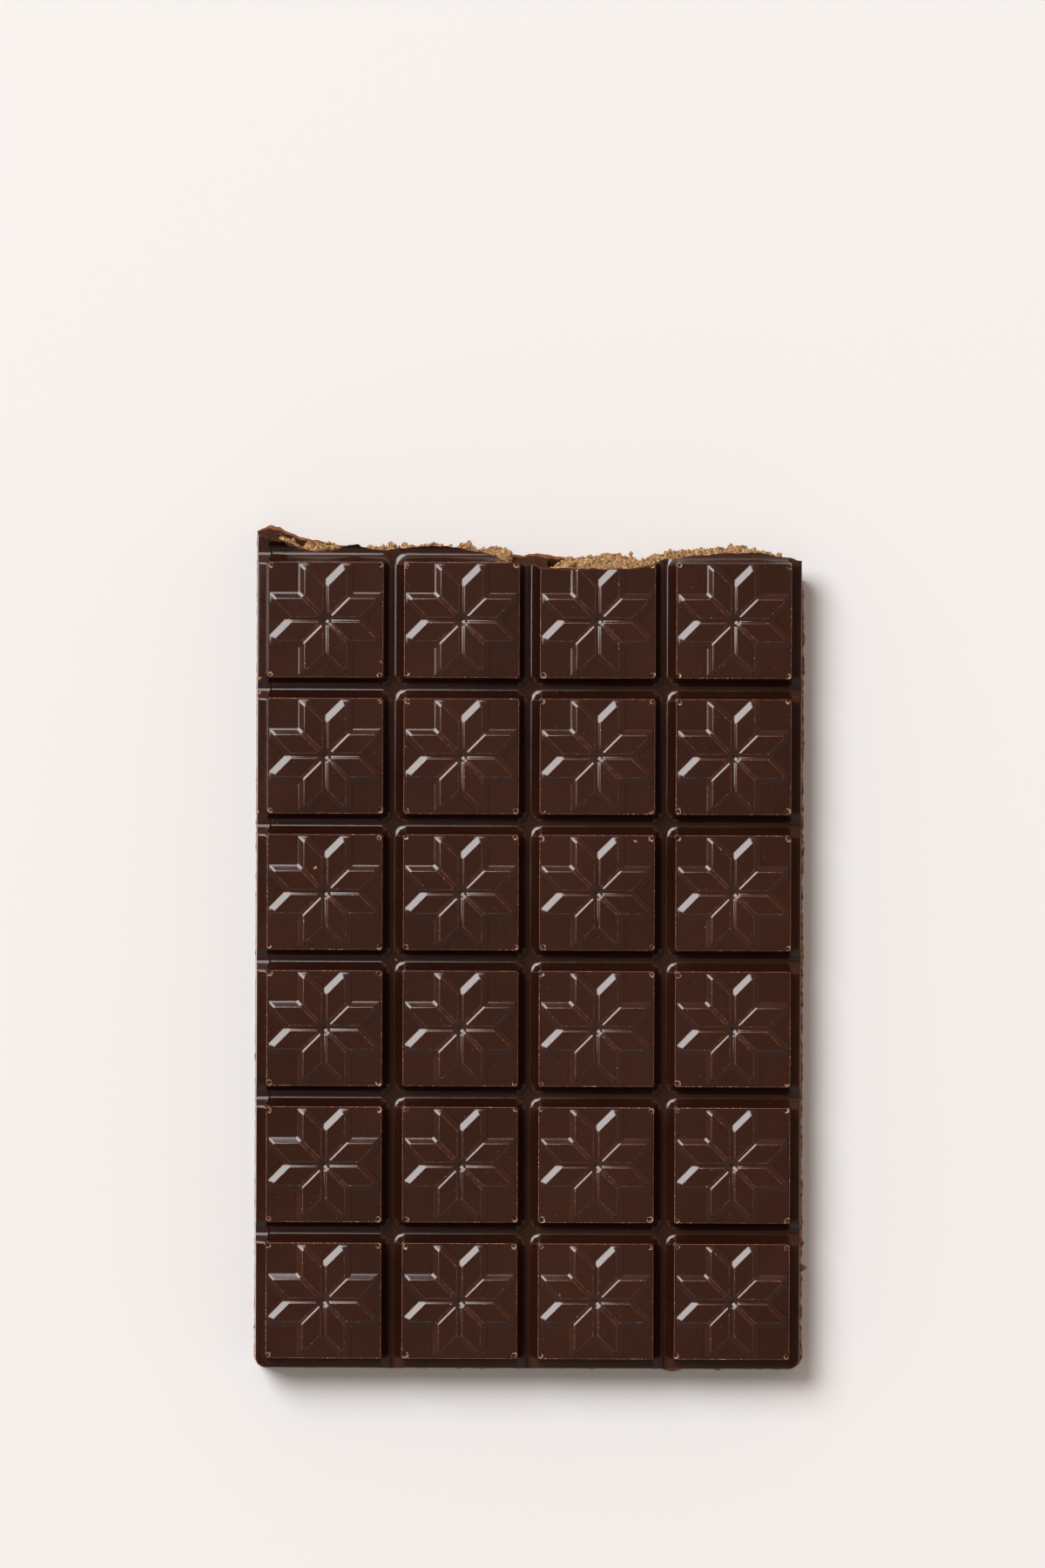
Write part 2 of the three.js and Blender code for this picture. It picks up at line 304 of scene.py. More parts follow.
def outline_plate(name, grow, radius, height):
    """A level plate of the bar's outline, grown outwards, open in edit mode."""
    bpy.ops.mesh.primitive_plane_add(size=1, location=(0, whole_end + long_side / 2, height))
    bpy.context.object.scale = (WIDTH + 2 * grow, long_side + 2 * grow, 1)
    plate = settled(name)
    into_edit()
    bpy.ops.mesh.bevel(affect="VERTICES", offset=radius, segments=BAR_CORNER_STEPS)
    bpy.ops.mesh.select_all(action="SELECT")
    return plate


bar = outline_plate("bar", DRAFT_RUN, BAR_CORNER + DRAFT_RUN, 0)
bpy.ops.mesh.inset(thickness=DRAFT_RUN, depth=LEDGE_Z - LEDGE_FALL - BAR_ROUND)
for step in range(BAR_ROUND_STEPS):
    low = step / BAR_ROUND_STEPS * math.pi / 2
    high = (step + 1) / BAR_ROUND_STEPS * math.pi / 2
    inwards = BAR_ROUND * (math.cos(low) - math.cos(high))
    upwards = BAR_ROUND * (math.sin(high) - math.sin(low))
    bpy.ops.mesh.inset(thickness=inwards, depth=upwards)
bpy.ops.mesh.inset(thickness=LEDGE_RUN, depth=LEDGE_FALL)
close_and_leave()
bar.data.materials.append(moulded_finish)

basin = outline_plate("basin", -RIM_WIDTH, BAR_CORNER, LEDGE_Z + SINK)
bpy.ops.mesh.inset(thickness=RIM_RUN, depth=FLOOR_Z - LEDGE_Z - SINK)
close_and_leave()
carve(bar, basin, "DIFFERENCE")


def joined(pieces, name):
    """Joins pieces that don't touch into one mesh."""
    bpy.ops.object.select_all(action="DESELECT")
    for piece in pieces:
        piece.select_set(True)
    bpy.context.view_layer.objects.active = pieces[0]
    bpy.ops.object.join()
    bpy.context.object.name = name
    return bpy.context.object


def moved_copy(piece, name, place):
    """A copy of a piece that was made about the origin, with its new place in its mesh."""
    twin = copy_of(piece, name)
    twin.location = place
    bpy.ops.object.transform_apply(location=True)
    return twin


# A notch is a smooth dip: a sheet with a bell-shaped section, raised into a block.
inner = RIM_WIDTH + RIM_RUN
bpy.ops.mesh.primitive_grid_add(x_subdivisions=NOTCH_STEPS, y_subdivisions=1, size=1)
bpy.context.object.scale = (2 * NOTCH_HALF, inner + 2 * DRAFT_RUN, 1)
bpy.context.object.location = (0, inner / 2 - DRAFT_RUN, 0)
notch = settled("notch")
for vertex in notch.data.vertices:
    dip = 0.5 + 0.5 * math.cos(math.pi * vertex.co.x / NOTCH_HALF)
    vertex.co.z = LEDGE_Z + NOTCH_LIFT - (LEDGE_Z - NOTCH_Z) * dip
into_edit()
bpy.ops.mesh.extrude_region_move(TRANSFORM_OT_translate={"value": (0, 0, LEDGE_Z)})
bpy.ops.mesh.select_all(action="SELECT")
bpy.ops.mesh.normals_make_consistent(inside=False)
bpy.ops.object.mode_set(mode="OBJECT")
notches = []
for column in range(1, COLUMNS):
    notches.append(moved_copy(notch, "notch_copy", ((column - COLUMNS / 2) * PITCH, whole_end, 0)))
for side in (-1, 1):
    for row in range(1, ROWS + 1):
        turned = copy_of(notch, "notch_copy")
        turned.rotation_euler = (0, 0, side * math.pi / 2)
        turned.location = (side * WIDTH / 2, whole_end + row * PITCH, 0)
        bpy.ops.object.transform_apply(location=True, rotation=True)
        notches.append(turned)
carve(bar, joined(notches, "notches"), "DIFFERENCE")
bpy.data.objects.remove(notch)

squares = []
square_places = []
for column in range(COLUMNS):
    for row in range(ROWS + 1):
        x = (column + 0.5) * PITCH - WIDTH / 2
        y = whole_end + (row + 0.5) * PITCH
        squares.append(moved_copy(square if row < ROWS else plain, "square_copy", (x, y, 0)))
        if row < ROWS:
            square_places.append((x, y))
carve(bar, joined(squares, "squares"), "UNION")
bpy.data.objects.remove(square)
bpy.data.objects.remove(plain)

# Air caught in the mould's corners left a small pit at nearly every corner of a square. Each is
# a ball-shaped hollow with a rubbed pale mouth.
PIT_INSET = 0.42 * MM
PIT_SCATTER = 0.12 * MM
PIT_RADII = (0.24 * MM, 0.4 * MM)
PIT_SHARE = 0.86  # of the corners have one
PIT_LIFT = 0.1  # in radii, how far the mouth's middle lies above the flat top
PIT_DROP = 0.2  # in radii, how far the bowl's middle lies below the mouth's
MOUTH_FLATNESS = 0.5
MOUTH_LENGTHS = (0.8, 1.2)
PIT_MOUTH = 0.1 * MM  # how much wider the mouth is than the bowl
PIT_LUMP = 0.35 * MM
PIT_ROUGH = 0.07 * MM
pit_draws = random.Random(7)
mouths = []
bowls = []
for x, y in square_places:
    for side_x in (-1, 1):
        for side_y in (-1, 1):
            radius = pit_draws.uniform(*PIT_RADII)
            off_x = pit_draws.uniform(-PIT_SCATTER, PIT_SCATTER)
            off_y = pit_draws.uniform(-PIT_SCATTER, PIT_SCATTER)
            if pit_draws.random() > PIT_SHARE:
                continue
            place = (
                x + side_x * (SQUARE / 2 - PIT_INSET) + off_x,
                y + side_y * (SQUARE / 2 - PIT_INSET) + off_y,
                TOP_Z + PIT_LIFT * radius,
            )
            bpy.ops.mesh.primitive_ico_sphere_add(subdivisions=2, radius=radius + PIT_MOUTH, location=place)
            bpy.context.object.scale = (1, pit_draws.uniform(*MOUTH_LENGTHS), MOUTH_FLATNESS)
            mouths.append(settled("mouth"))
            lean_x = pit_draws.uniform(-1, 1) * PIT_MOUTH
            lean_y = pit_draws.uniform(-1, 1) * PIT_MOUTH
            bowl_place = Vector(place) + Vector((lean_x, lean_y, -PIT_DROP * radius))
            bpy.ops.mesh.primitive_ico_sphere_add(subdivisions=2, radius=radius, location=bowl_place)
            bowls.append(settled("bowl"))
chipped_finish = bpy.data.materials.new("chipped_rim")
hollow_finish = bpy.data.materials.new("pit_hollow")
for hollows, name, finish in ((mouths, "mouths", chipped_finish), (bowls, "bowls", hollow_finish)):
    tool = joined(hollows, name)
    for vertex in tool.data.vertices:
        vertex.co += noise.noise_vector(vertex.co / PIT_LUMP) * PIT_ROUGH
    tool.data.materials.append(finish)
    carve(bar, tool, "DIFFERENCE")

# The pockets: two flat hollows under the squares, shut at the whole end, which the filling was
# poured into before the back was closed.
FILL_LOW_Z = 1.7 * MM
FILL_HIGH_Z = 4.4 * MM
FILL_WEB = 2.8 * MM  # half the solid web along the bar's middle
FILL_MARGIN = 3.1 * MM
FILL_ROUND = 1.1 * MM
FILL_STEPS = 5
GAP = 0.3 * MM  # what the solids keep clear between filling and chocolate
PAST_SNAP = 12 * MM


def pocket_strip(name, side, grow):
    """One strip of filling, or the pocket round it, grown outwards on every side."""
    low = Vector((FILL_WEB - grow, whole_end + FILL_MARGIN - grow, FILL_LOW_Z - grow))
    high = Vector((WIDTH / 2 - FILL_MARGIN + grow, snap_y + PAST_SNAP, FILL_HIGH_Z + grow))
    middle = (low + high) / 2
    bpy.ops.mesh.primitive_cube_add(size=1, location=(side * middle.x, middle.y, middle.z))
    bpy.context.object.scale = high - low
    strip = settled(name)
    into_edit()
    bpy.ops.mesh.select_mode(type="EDGE")
    bpy.ops.mesh.select_all(action="DESELECT")
    bpy.ops.object.mode_set(mode="OBJECT")
    for edge in strip.data.edges:
        ends = [strip.data.vertices[i].co for i in edge.vertices]
        edge.select = abs(ends[0].y - ends[1].y) > PITCH
    bpy.ops.object.mode_set(mode="EDIT")
    bpy.ops.mesh.bevel(offset=FILL_ROUND + grow, segments=FILL_STEPS)
    bpy.ops.object.mode_set(mode="OBJECT")
    return strip


pockets = [pocket_strip("pocket", side, GAP) for side in (-1, 1)]
carve(bar, joined(pockets, "pockets"), "DIFFERENCE")

# The snapped face. The bar broke along its last groove: the poured back stands out as a lip at
# the left and lies under an overhang at the right. A rough sheet is raised into a block and cut
# away. Both lines are given in mm past the groove's middle, at mm across the bar.
BACK_EDGE = [
    (-42.0, 3.3), (-39.4, 3.3), (-38.4, 3.6), (-37.4, 4.2), (-36.4, 3.9), (-34.8, 3.1), (-32.8, 2.3),
    (-30.9, 1.9), (-29.4, 1.5), (-27.4, 1.15), (-23.0, 0.9), (-12.0, 0.5), (-5.1, 0.15), (-3.1, -0.1),
    (-1.0, -0.1), (0.5, 0.1), (6.0, -0.4), (14.0, -1.1), (22.0, -1.9), (42.0, -4.1),
]
TOP_RIM = [
    (-42.0, 2.3), (-38.9, 2.3), (-37.8, 2.1), (-37.1, 1.5), (-35.5, 1.35), (-34.4, 0.95), (-32.8, 0.3),
    (-31.1, -0.1), (-29.4, -0.1), (-28.0, 0.3), (-26.7, 0.7), (-25.8, 1.05), (-24.7, 1.05), (-24.0, 0.6),
    (-22.0, 0.3), (-20.9, 0.15), (-19.7, 0.45), (-17.0, 0.6), (-13.8, 1.0), (-11.0, 0.8), (-7.5, 0.1),
    (-5.2, -0.5), (-4.1, -1.3), (-2.5, -1.6), (0.4, -1.9), (1.9, -2.4), (8.0, -2.55), (14.5, -2.45),
    (17.0, -2.0), (19.5, -0.9), (24.0, -0.35), (28.0, 0.05), (31.5, 0.1), (34.0, 0.0), (35.6, -0.45),
    (37.2, -0.6), (39.2, -1.0), (42.0, -1.0),
]
LIP_TOP_Z = 1.4 * MM  # the lip is as high as the pocket's floor
LIP_SHARE = 0.3  # how much of the lean lies below that
ROOF_Z = 4.7 * MM  # the pocket's roof
ROOF_SHARE = 0.85
RIM_TOP_Z = 5.6 * MM
FACE_STEP = 0.27 * MM
FACE_SIDE = 84 * MM
GRAIN_FADE = 0.9  # how fast the lumps get lower as they get finer
GRAIN_STEP = 2.1  # how much finer each layer of lumps is than the last
GRAIN_LAYERS = 4
FACE_SHELLS = (0.2 * MM, 2.4 * MM, 3.1)  # height, size and place in the noise
FACE_GRAIN = (0.08 * MM, 0.6 * MM, 8.4)
FACE_FOOT_Z = -1 * MM
FACE_TOP_Z = 10.2 * MM
BLOCK_DEPTH = 40 * MM


def read_off(places, x):
    """A value between the listed places, eased from one to the next."""
    for (x0, y0), (x1, y1) in zip(places, places[1:]):
        if x <= x1:
            t = min(max((x - x0) / (x1 - x0), 0), 1)
            return y0 + (y1 - y0) * t * t * (3 - 2 * t)
    return places[-1][1]


def eased(low, high, value):
    """0 below one height, 1 above the other, and smooth between."""
    t = min(max((value - low) / (high - low), 0), 1)
    return t * t * (3 - 2 * t)


def snap_line(x, z):
    """How far past the groove's middle the chocolate broke, before its grain."""
    back = read_off(BACK_EDGE, x / MM)
    rim = read_off(TOP_RIM, x / MM)
    share = LIP_SHARE * eased(-0.4 * MM, LIP_TOP_Z, z)
    share += (ROOF_SHARE - LIP_SHARE) * eased(LIP_TOP_Z, ROOF_Z, z)
    share += (1 - ROOF_SHARE) * eased(ROOF_Z, RIM_TOP_Z, z)
    return (back + (rim - back) * share) * MM


def grain(x, z, height, size, seed):
    """Rough lumps, about one height up and down, the largest of them one size across."""
    place = (x / size, z / size, seed)
    return height * noise.fractal(place, GRAIN_FADE, GRAIN_STEP, GRAIN_LAYERS)


def chocolate_face(x, z):
    """The broken chocolate: shallow shells with a fine grain."""
    return snap_y + snap_line(x, z) + grain(x, z, *FACE_SHELLS) + grain(x, z, *FACE_GRAIN)


def broken_block(name, step, low, high, face):
    """What was broken off: everything past a rough face, as a closed block."""
    height = high - low
    across = round(FACE_SIDE / step)
    upwards = round(height / step)
    bpy.ops.mesh.primitive_grid_add(
        x_subdivisions=across,
        y_subdivisions=upwards,
        size=1,
        location=(0, 0, (low + high) / 2),
        rotation=(math.pi / 2, 0, 0),
    )
    bpy.context.object.scale = (FACE_SIDE, height, 1)
    block = settled(name)
    for vertex in block.data.vertices:
        vertex.co.y = face(vertex.co.x, vertex.co.z)
    into_edit()
    bpy.ops.mesh.extrude_region_move(TRANSFORM_OT_translate={"value": (0, BLOCK_DEPTH, 0)})
    bpy.ops.transform.resize(value=(1, 0, 1), center_override=(0, snap_y + BLOCK_DEPTH, 0))
    bpy.ops.mesh.select_all(action="SELECT")
    bpy.ops.mesh.normals_make_consistent(inside=False)
    bpy.ops.object.mode_set(mode="OBJECT")
    return block


snapped_finish = bpy.data.materials.new("snapped_chocolate")
block = broken_block("block", FACE_STEP, FACE_FOOT_Z, FACE_TOP_Z, chocolate_face)
block.data.materials.append(snapped_finish)
carve(bar, block, "DIFFERENCE")

# The carving leaves the finishes in the order the tools came in. Here they are sorted, and the
# skin is smoothed over its rounded edges, so that flat faces keep an even gloss.
SMOOTH_ANGLE = math.radians(35)
finishes = (moulded_finish, rubbed_finish, soft_finish, snapped_finish, chipped_finish, hollow_finish)
order = [finishes.index(made) for made in bar.data.materials]
face_finishes = [order[face.material_index] for face in bar.data.polygons]
bar.data.materials.clear()
for finish in finishes:
    bar.data.materials.append(finish)
for face, finish in zip(bar.data.polygons, face_finishes):
    face.material_index = finish


def smooth_skin(piece):
    """Smooth shading up to the sharp edges, weighted so that large faces stay flat."""
    bpy.ops.object.select_all(action="DESELECT")
    piece.select_set(True)
    bpy.context.view_layer.objects.active = piece
    bpy.ops.object.shade_smooth_by_angle(angle=SMOOTH_ANGLE)
    weighted = piece.modifiers.new("weighted", "WEIGHTED_NORMAL")
    weighted.keep_sharp = True
    bpy.ops.object.modifier_apply(modifier=weighted.name)


smooth_skin(bar)
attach(bar, "root")
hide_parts("chocolate")

# The chocolate's finish: dark and softly glossy where the mould was, with slow changes of tone
# and gloss, a fine mottle, and a scatter of pale dust.
DARK_BROWN = (0.024, 0.0068, 0.0035, 1)
WARM_BROWN = (0.033, 0.0097, 0.005, 1)
CHIP_TAN = (0.62, 0.41, 0.26, 1)
PIT_SHADE_BLACK = (0.012, 0.005, 0.003, 1)
SOFT_BROWN = (0.085, 0.03, 0.018, 1)
RUBBED_BROWN = (0.12, 0.046, 0.029, 1)
RUBBED_TAN = (0.7, 0.44, 0.3, 1)
SNAP_DARK = (0.05, 0.022, 0.014, 1)
SNAP_GLOW = (0.27, 0.115, 0.052, 1)


def node(finish, kind, settings=(), **inputs):
    """Adds one node, sets its own settings and its inputs' values, and returns it."""
    made = finish.node_tree.nodes.new(kind)
    for name, value in dict(settings).items():
        setattr(made, name, value)
    for name, value in inputs.items():
        made.inputs[name.replace("_", " ")].default_value = value
    return made


def link(finish, output, target):
    """Joins one node's output to another node's input."""
    finish.node_tree.links.new(output, target)


def shader_of(finish):
    """Opens a new material and returns its shader and the place of each point."""
    finish.use_nodes = True
    shader = finish.node_tree.nodes["Principled BSDF"]
    return shader, node(finish, "ShaderNodeTexCoord").outputs["Object"]


def mottle(finish, place, size, detail=2.0, rough=0.5):
    """Smooth noise from 0 to 1, whose lumps are one size across."""
    made = node(finish, "ShaderNodeTexNoise", Scale=1 / size, Detail=detail, Roughness=rough)
    link(finish, place, made.inputs["Vector"])
    return made.outputs["Fac"]


def between(finish, value, low, high, to_low, to_high):
    """Stretches a value from one range to another, and holds it at the ends."""
    made = node(finish, "ShaderNodeMapRange", From_Min=low, From_Max=high, To_Min=to_low, To_Max=to_high)
    link(finish, value, made.inputs["Value"])
    return made.outputs["Result"]


def blend_colours(finish, share, first, second):
    """Mixes two colours, each given as a colour or as another node's output."""
    made = node(finish, "ShaderNodeMix", {"data_type": "RGBA"})
    link(finish, share, made.inputs["Factor"])
    for name, colour in (("A", first), ("B", second)):
        socket = [s for s in made.inputs if s.name == name and s.type == "RGBA"][0]
        if isinstance(colour, tuple):
            socket.default_value = colour
        else:
            link(finish, colour, socket)
    return [s for s in made.outputs if s.type == "RGBA"][0]


def bump(finish, height, depth, strength=1.0, under=None):
    """Raises a surface by a height from 0 to 1, of so many metres, over any bump under it."""
    made = node(finish, "ShaderNodeBump", Strength=strength, Distance=depth)
    link(finish, height, made.inputs["Height"])
    if under:
        link(finish, under, made.inputs["Normal"])
    return made.outputs["Normal"]


shader, place = shader_of(moulded_finish)
tone = mottle(moulded_finish, place, 14 * MM, 3)
smudge = mottle(moulded_finish, place, 7 * MM, 4, 0.6)
fine = mottle(moulded_finish, place, 0.9 * MM, 3)
dust = mottle(moulded_finish, place, 0.22 * MM, 1)
share = between(moulded_finish, tone, 0.35, 0.65, 0, 1)
colour = blend_colours(moulded_finish, share, DARK_BROWN, WARM_BROWN)
share = between(moulded_finish, dust, 0.78, 0.84, 0, 0.5)
colour = blend_colours(moulded_finish, share, colour, RUBBED_TAN)
link(moulded_finish, colour, shader.inputs["Base Color"])
gloss = between(moulded_finish, smudge, 0.3, 0.7, 0.09, 0.17)
link(moulded_finish, gloss, shader.inputs["Roughness"])
waves = bump(moulded_finish, mottle(moulded_finish, place, 3.5 * MM, 2), 0.03 * MM, 0.5)
pores = bump(moulded_finish, fine, 0.006 * MM, 0.6, waves)
link(moulded_finish, pores, shader.inputs["Normal"])
shader.inputs["IOR"].default_value = 1.5

shader, place = shader_of(rubbed_finish)
patches = mottle(rubbed_finish, place, 5 * MM, 2)
streaks = mottle(rubbed_finish, place, 0.9 * MM, 3, 0.7)
specks = mottle(rubbed_finish, place, 0.25 * MM, 2)
worn = node(rubbed_finish, "ShaderNodeMath", {"operation": "ADD"})
link(rubbed_finish, specks, worn.inputs[0])
link(rubbed_finish, between(rubbed_finish, patches, 0.35, 0.65, -0.08, 0.06), worn.inputs[1])
share = between(rubbed_finish, streaks, 0.36, 0.58, 0, 1)
colour = blend_colours(rubbed_finish, share, WARM_BROWN, RUBBED_BROWN)
share = between(rubbed_finish, worn.outputs["Value"], 0.6, 0.7, 0, 1)
colour = blend_colours(rubbed_finish, share, colour, RUBBED_TAN)
link(rubbed_finish, colour, shader.inputs["Base Color"])
shader.inputs["Roughness"].default_value = 0.5
link(rubbed_finish, bump(rubbed_finish, specks, 0.03 * MM), shader.inputs["Normal"])

shader, place = shader_of(soft_finish)
streaks = mottle(soft_finish, place, 0.9 * MM, 3, 0.7)
specks = mottle(soft_finish, place, 0.22 * MM, 2)
share = between(soft_finish, streaks, 0.4, 0.62, 0, 1)
colour = blend_colours(soft_finish, share, WARM_BROWN, SOFT_BROWN)
share = between(soft_finish, specks, 0.68, 0.76, 0, 1)
colour = blend_colours(soft_finish, share, colour, RUBBED_TAN)
link(soft_finish, colour, shader.inputs["Base Color"])
shader.inputs["Roughness"].default_value = 0.25

# The snapped face is dark, and orange near the back and faintly near the top rim: painted glow of light
# shining through the thin chocolate there.
shader, place = shader_of(snapped_finish)
shells = mottle(snapped_finish, place, 1.6 * MM, 4, 0.6)
fine = mottle(snapped_finish, place, 0.25 * MM, 3, 0.6)
split = node(snapped_finish, "ShaderNodeSeparateXYZ")
link(snapped_finish, place, split.inputs["Vector"])
near_back = between(snapped_finish, split.outputs["Z"], 0.5 * MM, 1.2 * MM, 1, 0)
near_rim = between(snapped_finish, split.outputs["Z"], ROOF_Z, RIM_TOP_Z, 0, 0.22)
thin = node(snapped_finish, "ShaderNodeMath", {"operation": "MAXIMUM"})
link(snapped_finish, near_back, thin.inputs[0])
link(snapped_finish, near_rim, thin.inputs[1])
pale = node(snapped_finish, "ShaderNodeMath", {"operation": "MULTIPLY"})
link(snapped_finish, thin.outputs["Value"], pale.inputs[0])
link(snapped_finish, between(snapped_finish, shells, 0.3, 0.6, 0.35, 1), pale.inputs[1])
colour = blend_colours(snapped_finish, pale.outputs["Value"], SNAP_DARK, SNAP_GLOW)
link(snapped_finish, colour, shader.inputs["Base Color"])
shader.inputs["Roughness"].default_value = 0.8
shader.inputs["Specular IOR Level"].default_value = 0
link(snapped_finish, bump(snapped_finish, fine, 0.06 * MM), shader.inputs["Normal"])

shader, place = shader_of(chipped_finish)
chips = mottle(chipped_finish, place, 0.3 * MM, 2)
share = between(chipped_finish, chips, 0.4, 0.6, 0, 1)
colour = blend_colours(chipped_finish, share, RUBBED_BROWN, CHIP_TAN)
link(chipped_finish, colour, shader.inputs["Base Color"])
shader.inputs["Roughness"].default_value = 0.7
shader.inputs["Specular IOR Level"].default_value = 0.2

# The bowl is painted near-black, mottled with brown: painted shade inside the pit.
shader, place = shader_of(hollow_finish)
shadows = mottle(hollow_finish, place, 0.25 * MM, 2)
share = between(hollow_finish, shadows, 0.4, 0.65, 0, 1)
colour = blend_colours(hollow_finish, share, PIT_SHADE_BLACK, RUBBED_BROWN)
link(hollow_finish, colour, shader.inputs["Base Color"])
shader.inputs["Roughness"].default_value = 0.6
shader.inputs["Specular IOR Level"].default_value = 0.2

# The filling: a dry, crumbly paste of biscuit and sugar that fills each pocket. Where the bar
# snapped it broke rough, and stands out as far as its own list says, in mm as above.
CRUMB_EDGE = [
    (-42.0, 2.3), (-36.1, 2.3), (-34.8, 1.9), (-33.9, 1.4), (-33.0, 0.9), (-31.8, 1.0), (-30.2, 1.2),
    (-28.8, 1.2), (-27.1, 0.8), (-25.5, 0.4), (-23.8, 0.7), (-22.2, 1.0), (-20.9, 0.9), (-19.8, 1.2),
    (-18.9, 0.6), (-17.4, 1.0), (-14.9, 1.2), (-12.0, 1.1), (-10.8, 0.6), (-9.0, 1.4), (-7.4, 0.5),
    (-5.3, 1.0), (-3.9, 0.6), (-2.8, 0.2), (2.5, -2.1), (5.0, -1.3), (5.6, -0.7), (7.1, -0.9),
    (8.8, -0.3), (11.2, 0.0), (14.1, -0.5), (16.0, -0.9), (18.0, -0.1), (21.0, 0.3), (24.0, 0.5),
    (28.0, 0.9), (31.0, 0.8), (33.5, 0.4), (36.0, -0.3), (42.0, -0.5),
]
CRUMB_STEP = 0.15 * MM
CRUMB_ROUND = 0.45 * MM  # how much further back the filling is at its floor and roof
CRUMB_LUMPS = (0.4 * MM, 1.3 * MM, 21.7)  # height, size and place in the noise
CRUMB_GRAIN = (0.16 * MM, 0.4 * MM, 5.2)
PEBBLE_HEIGHT = 0.3 * MM
PEBBLE_SIZE = 0.75 * MM
PEBBLE_STEEPNESS = 1.8
CRUMB_BACK = 0.2 * MM  # what all of this is moved back by, to keep to the list
fill_middle_z = (FILL_LOW_Z + FILL_HIGH_Z) / 2
fill_half_height = (FILL_HIGH_Z - FILL_LOW_Z) / 2


def pebbles(x, z):
    """Grains pressed together, from 0 in the cracks between them to 1 on their tops."""
    nearest, second = noise.voronoi((x / PEBBLE_SIZE, z / PEBBLE_SIZE, 0))[0][:2]
    return min(1, PEBBLE_STEEPNESS * (second - nearest))


def crumb_face(x, z):
    """The broken filling: grains pressed together in lumps, rounded back at the edges."""
    from_middle = abs(z - fill_middle_z) / fill_half_height
    lumps = grain(x, z, *CRUMB_LUMPS) + PEBBLE_HEIGHT * pebbles(x, z)
    lumps += grain(x, z, *CRUMB_GRAIN) - CRUMB_BACK
    return snap_y + read_off(CRUMB_EDGE, x / MM) * MM + lumps - CRUMB_ROUND * from_middle**2


filling_finish = bpy.data.materials.new("crumbly_filling")
FILL_SHADE = (0.06, 0.026, 0.011, 1)
FILL_TAN = (0.34, 0.19, 0.083, 1)
FILL_CREAM = (0.7, 0.47, 0.25, 1)

# FILL_SHADE, where the lumps' noise is low, is painted shade in the gaps between the grains.
shader, place = shader_of(filling_finish)
lumps = mottle(filling_finish, place, 0.8 * MM, 4, 0.65)
grains = mottle(filling_finish, place, 0.3 * MM, 3, 0.6)
share = between(filling_finish, lumps, 0.32, 0.58, 0, 1)
colour = blend_colours(filling_finish, share, FILL_SHADE, FILL_TAN)
share = between(filling_finish, grains, 0.48, 0.68, 0, 1)
colour = blend_colours(filling_finish, share, colour, FILL_CREAM)
link(filling_finish, colour, shader.inputs["Base Color"])
shader.inputs["Roughness"].default_value = 0.8
shader.inputs["Specular IOR Level"].default_value = 0.1
link(filling_finish, bump(filling_finish, grains, 0.12 * MM), shader.inputs["Normal"])

for side, name in ((-1, "filling_left"), (1, "filling_right")):
    strip = pocket_strip(name + "_crumb", side, GAP)
    low, high = FILL_LOW_Z - 2 * GAP, FILL_HIGH_Z + 2 * GAP
    carve(strip, broken_block("block", CRUMB_STEP, low, high, crumb_face), "DIFFERENCE")
    strip.data.materials.clear()
    strip.data.materials.append(filling_finish)
    smooth_skin(strip)
    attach(strip, "root")
    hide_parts(name)

# Loose crumbs of the filling. Most stick to its broken face and stand a little past it, and a
# few flakes lie on the squares and the ledge. Six lumpy shapes are turned, stretched and strewn.
CRUMB_SHAPES = 6
CRUMB_COUNT = 620
CRUMB_RADII = (0.12 * MM, 0.42 * MM)
SMALL_ONES = 2.2  # the higher, the more of the crumbs are small
CRUMB_LUMP = 0.35
FACETS = 1.6  # how many facets and lumps there are to one radius
LUMPS = 2.2
STUCK_BACK = 0.3  # in radii, how far a crumb's middle lies behind the broken face
STUCK_OUT = 0.7
CRUMB_STRETCH = (0.6, 1.2)
FLECK_SHAPE = Vector((1, 0.6, 0.35))
ABOVE_ALL = 20 * MM
CRUMB_SMOOTH_ANGLE = math.radians(50)
FLECKS = (  # flakes that lie on the bar: x, y and half a length, in mm
    (-30.6, 11.5, 0.3), (15.2, 15.5, 0.28), (-19.0, -1.7, 0.2), (-38.75, 38.7, 0.35), (-38.7, 36.5, 0.3),
    (-38.9, 19.4, 0.25), (30.5, -31.2, 0.2), (-21.3, 41.0, 0.22), (4.6, -49.5, 0.18), (25.3, 3.2, 0.16),
)
crumb_draws = random.Random(19)
shapes = []
for number in range(CRUMB_SHAPES):
    bpy.ops.mesh.primitive_ico_sphere_add(subdivisions=2, radius=1, location=(0, 0, 0))
    shape = settled("crumb_shape")
    for vertex in shape.data.vertices:
        lump = noise.cell(vertex.co * FACETS + Vector((0, 0, 9 * number)))
        lump += noise.noise(vertex.co * LUMPS + Vector((0, 0, 5 * number)))
        vertex.co *= 1 + CRUMB_LUMP * lump
    shapes.append(shape)
crumbs = []
while len(crumbs) < CRUMB_COUNT:
    side = crumb_draws.choice((-1, 1))
    x = side * crumb_draws.uniform(FILL_WEB, WIDTH / 2 - FILL_MARGIN)
    z = crumb_draws.uniform(FILL_LOW_Z - GAP, FILL_HIGH_Z + GAP)
    size = CRUMB_RADII[0] + (CRUMB_RADII[1] - CRUMB_RADII[0]) * crumb_draws.random() ** SMALL_ONES
    one = copy_of(shapes[len(crumbs) % CRUMB_SHAPES], "crumb")
    one.location = (x, crumb_face(x, z) + crumb_draws.uniform(-STUCK_BACK, STUCK_OUT) * size, z)
    one.rotation_euler = [crumb_draws.uniform(0, 2 * math.pi) for axis in range(3)]
    one.scale = [size * crumb_draws.uniform(*CRUMB_STRETCH) for axis in range(3)]
    crumbs.append(one)
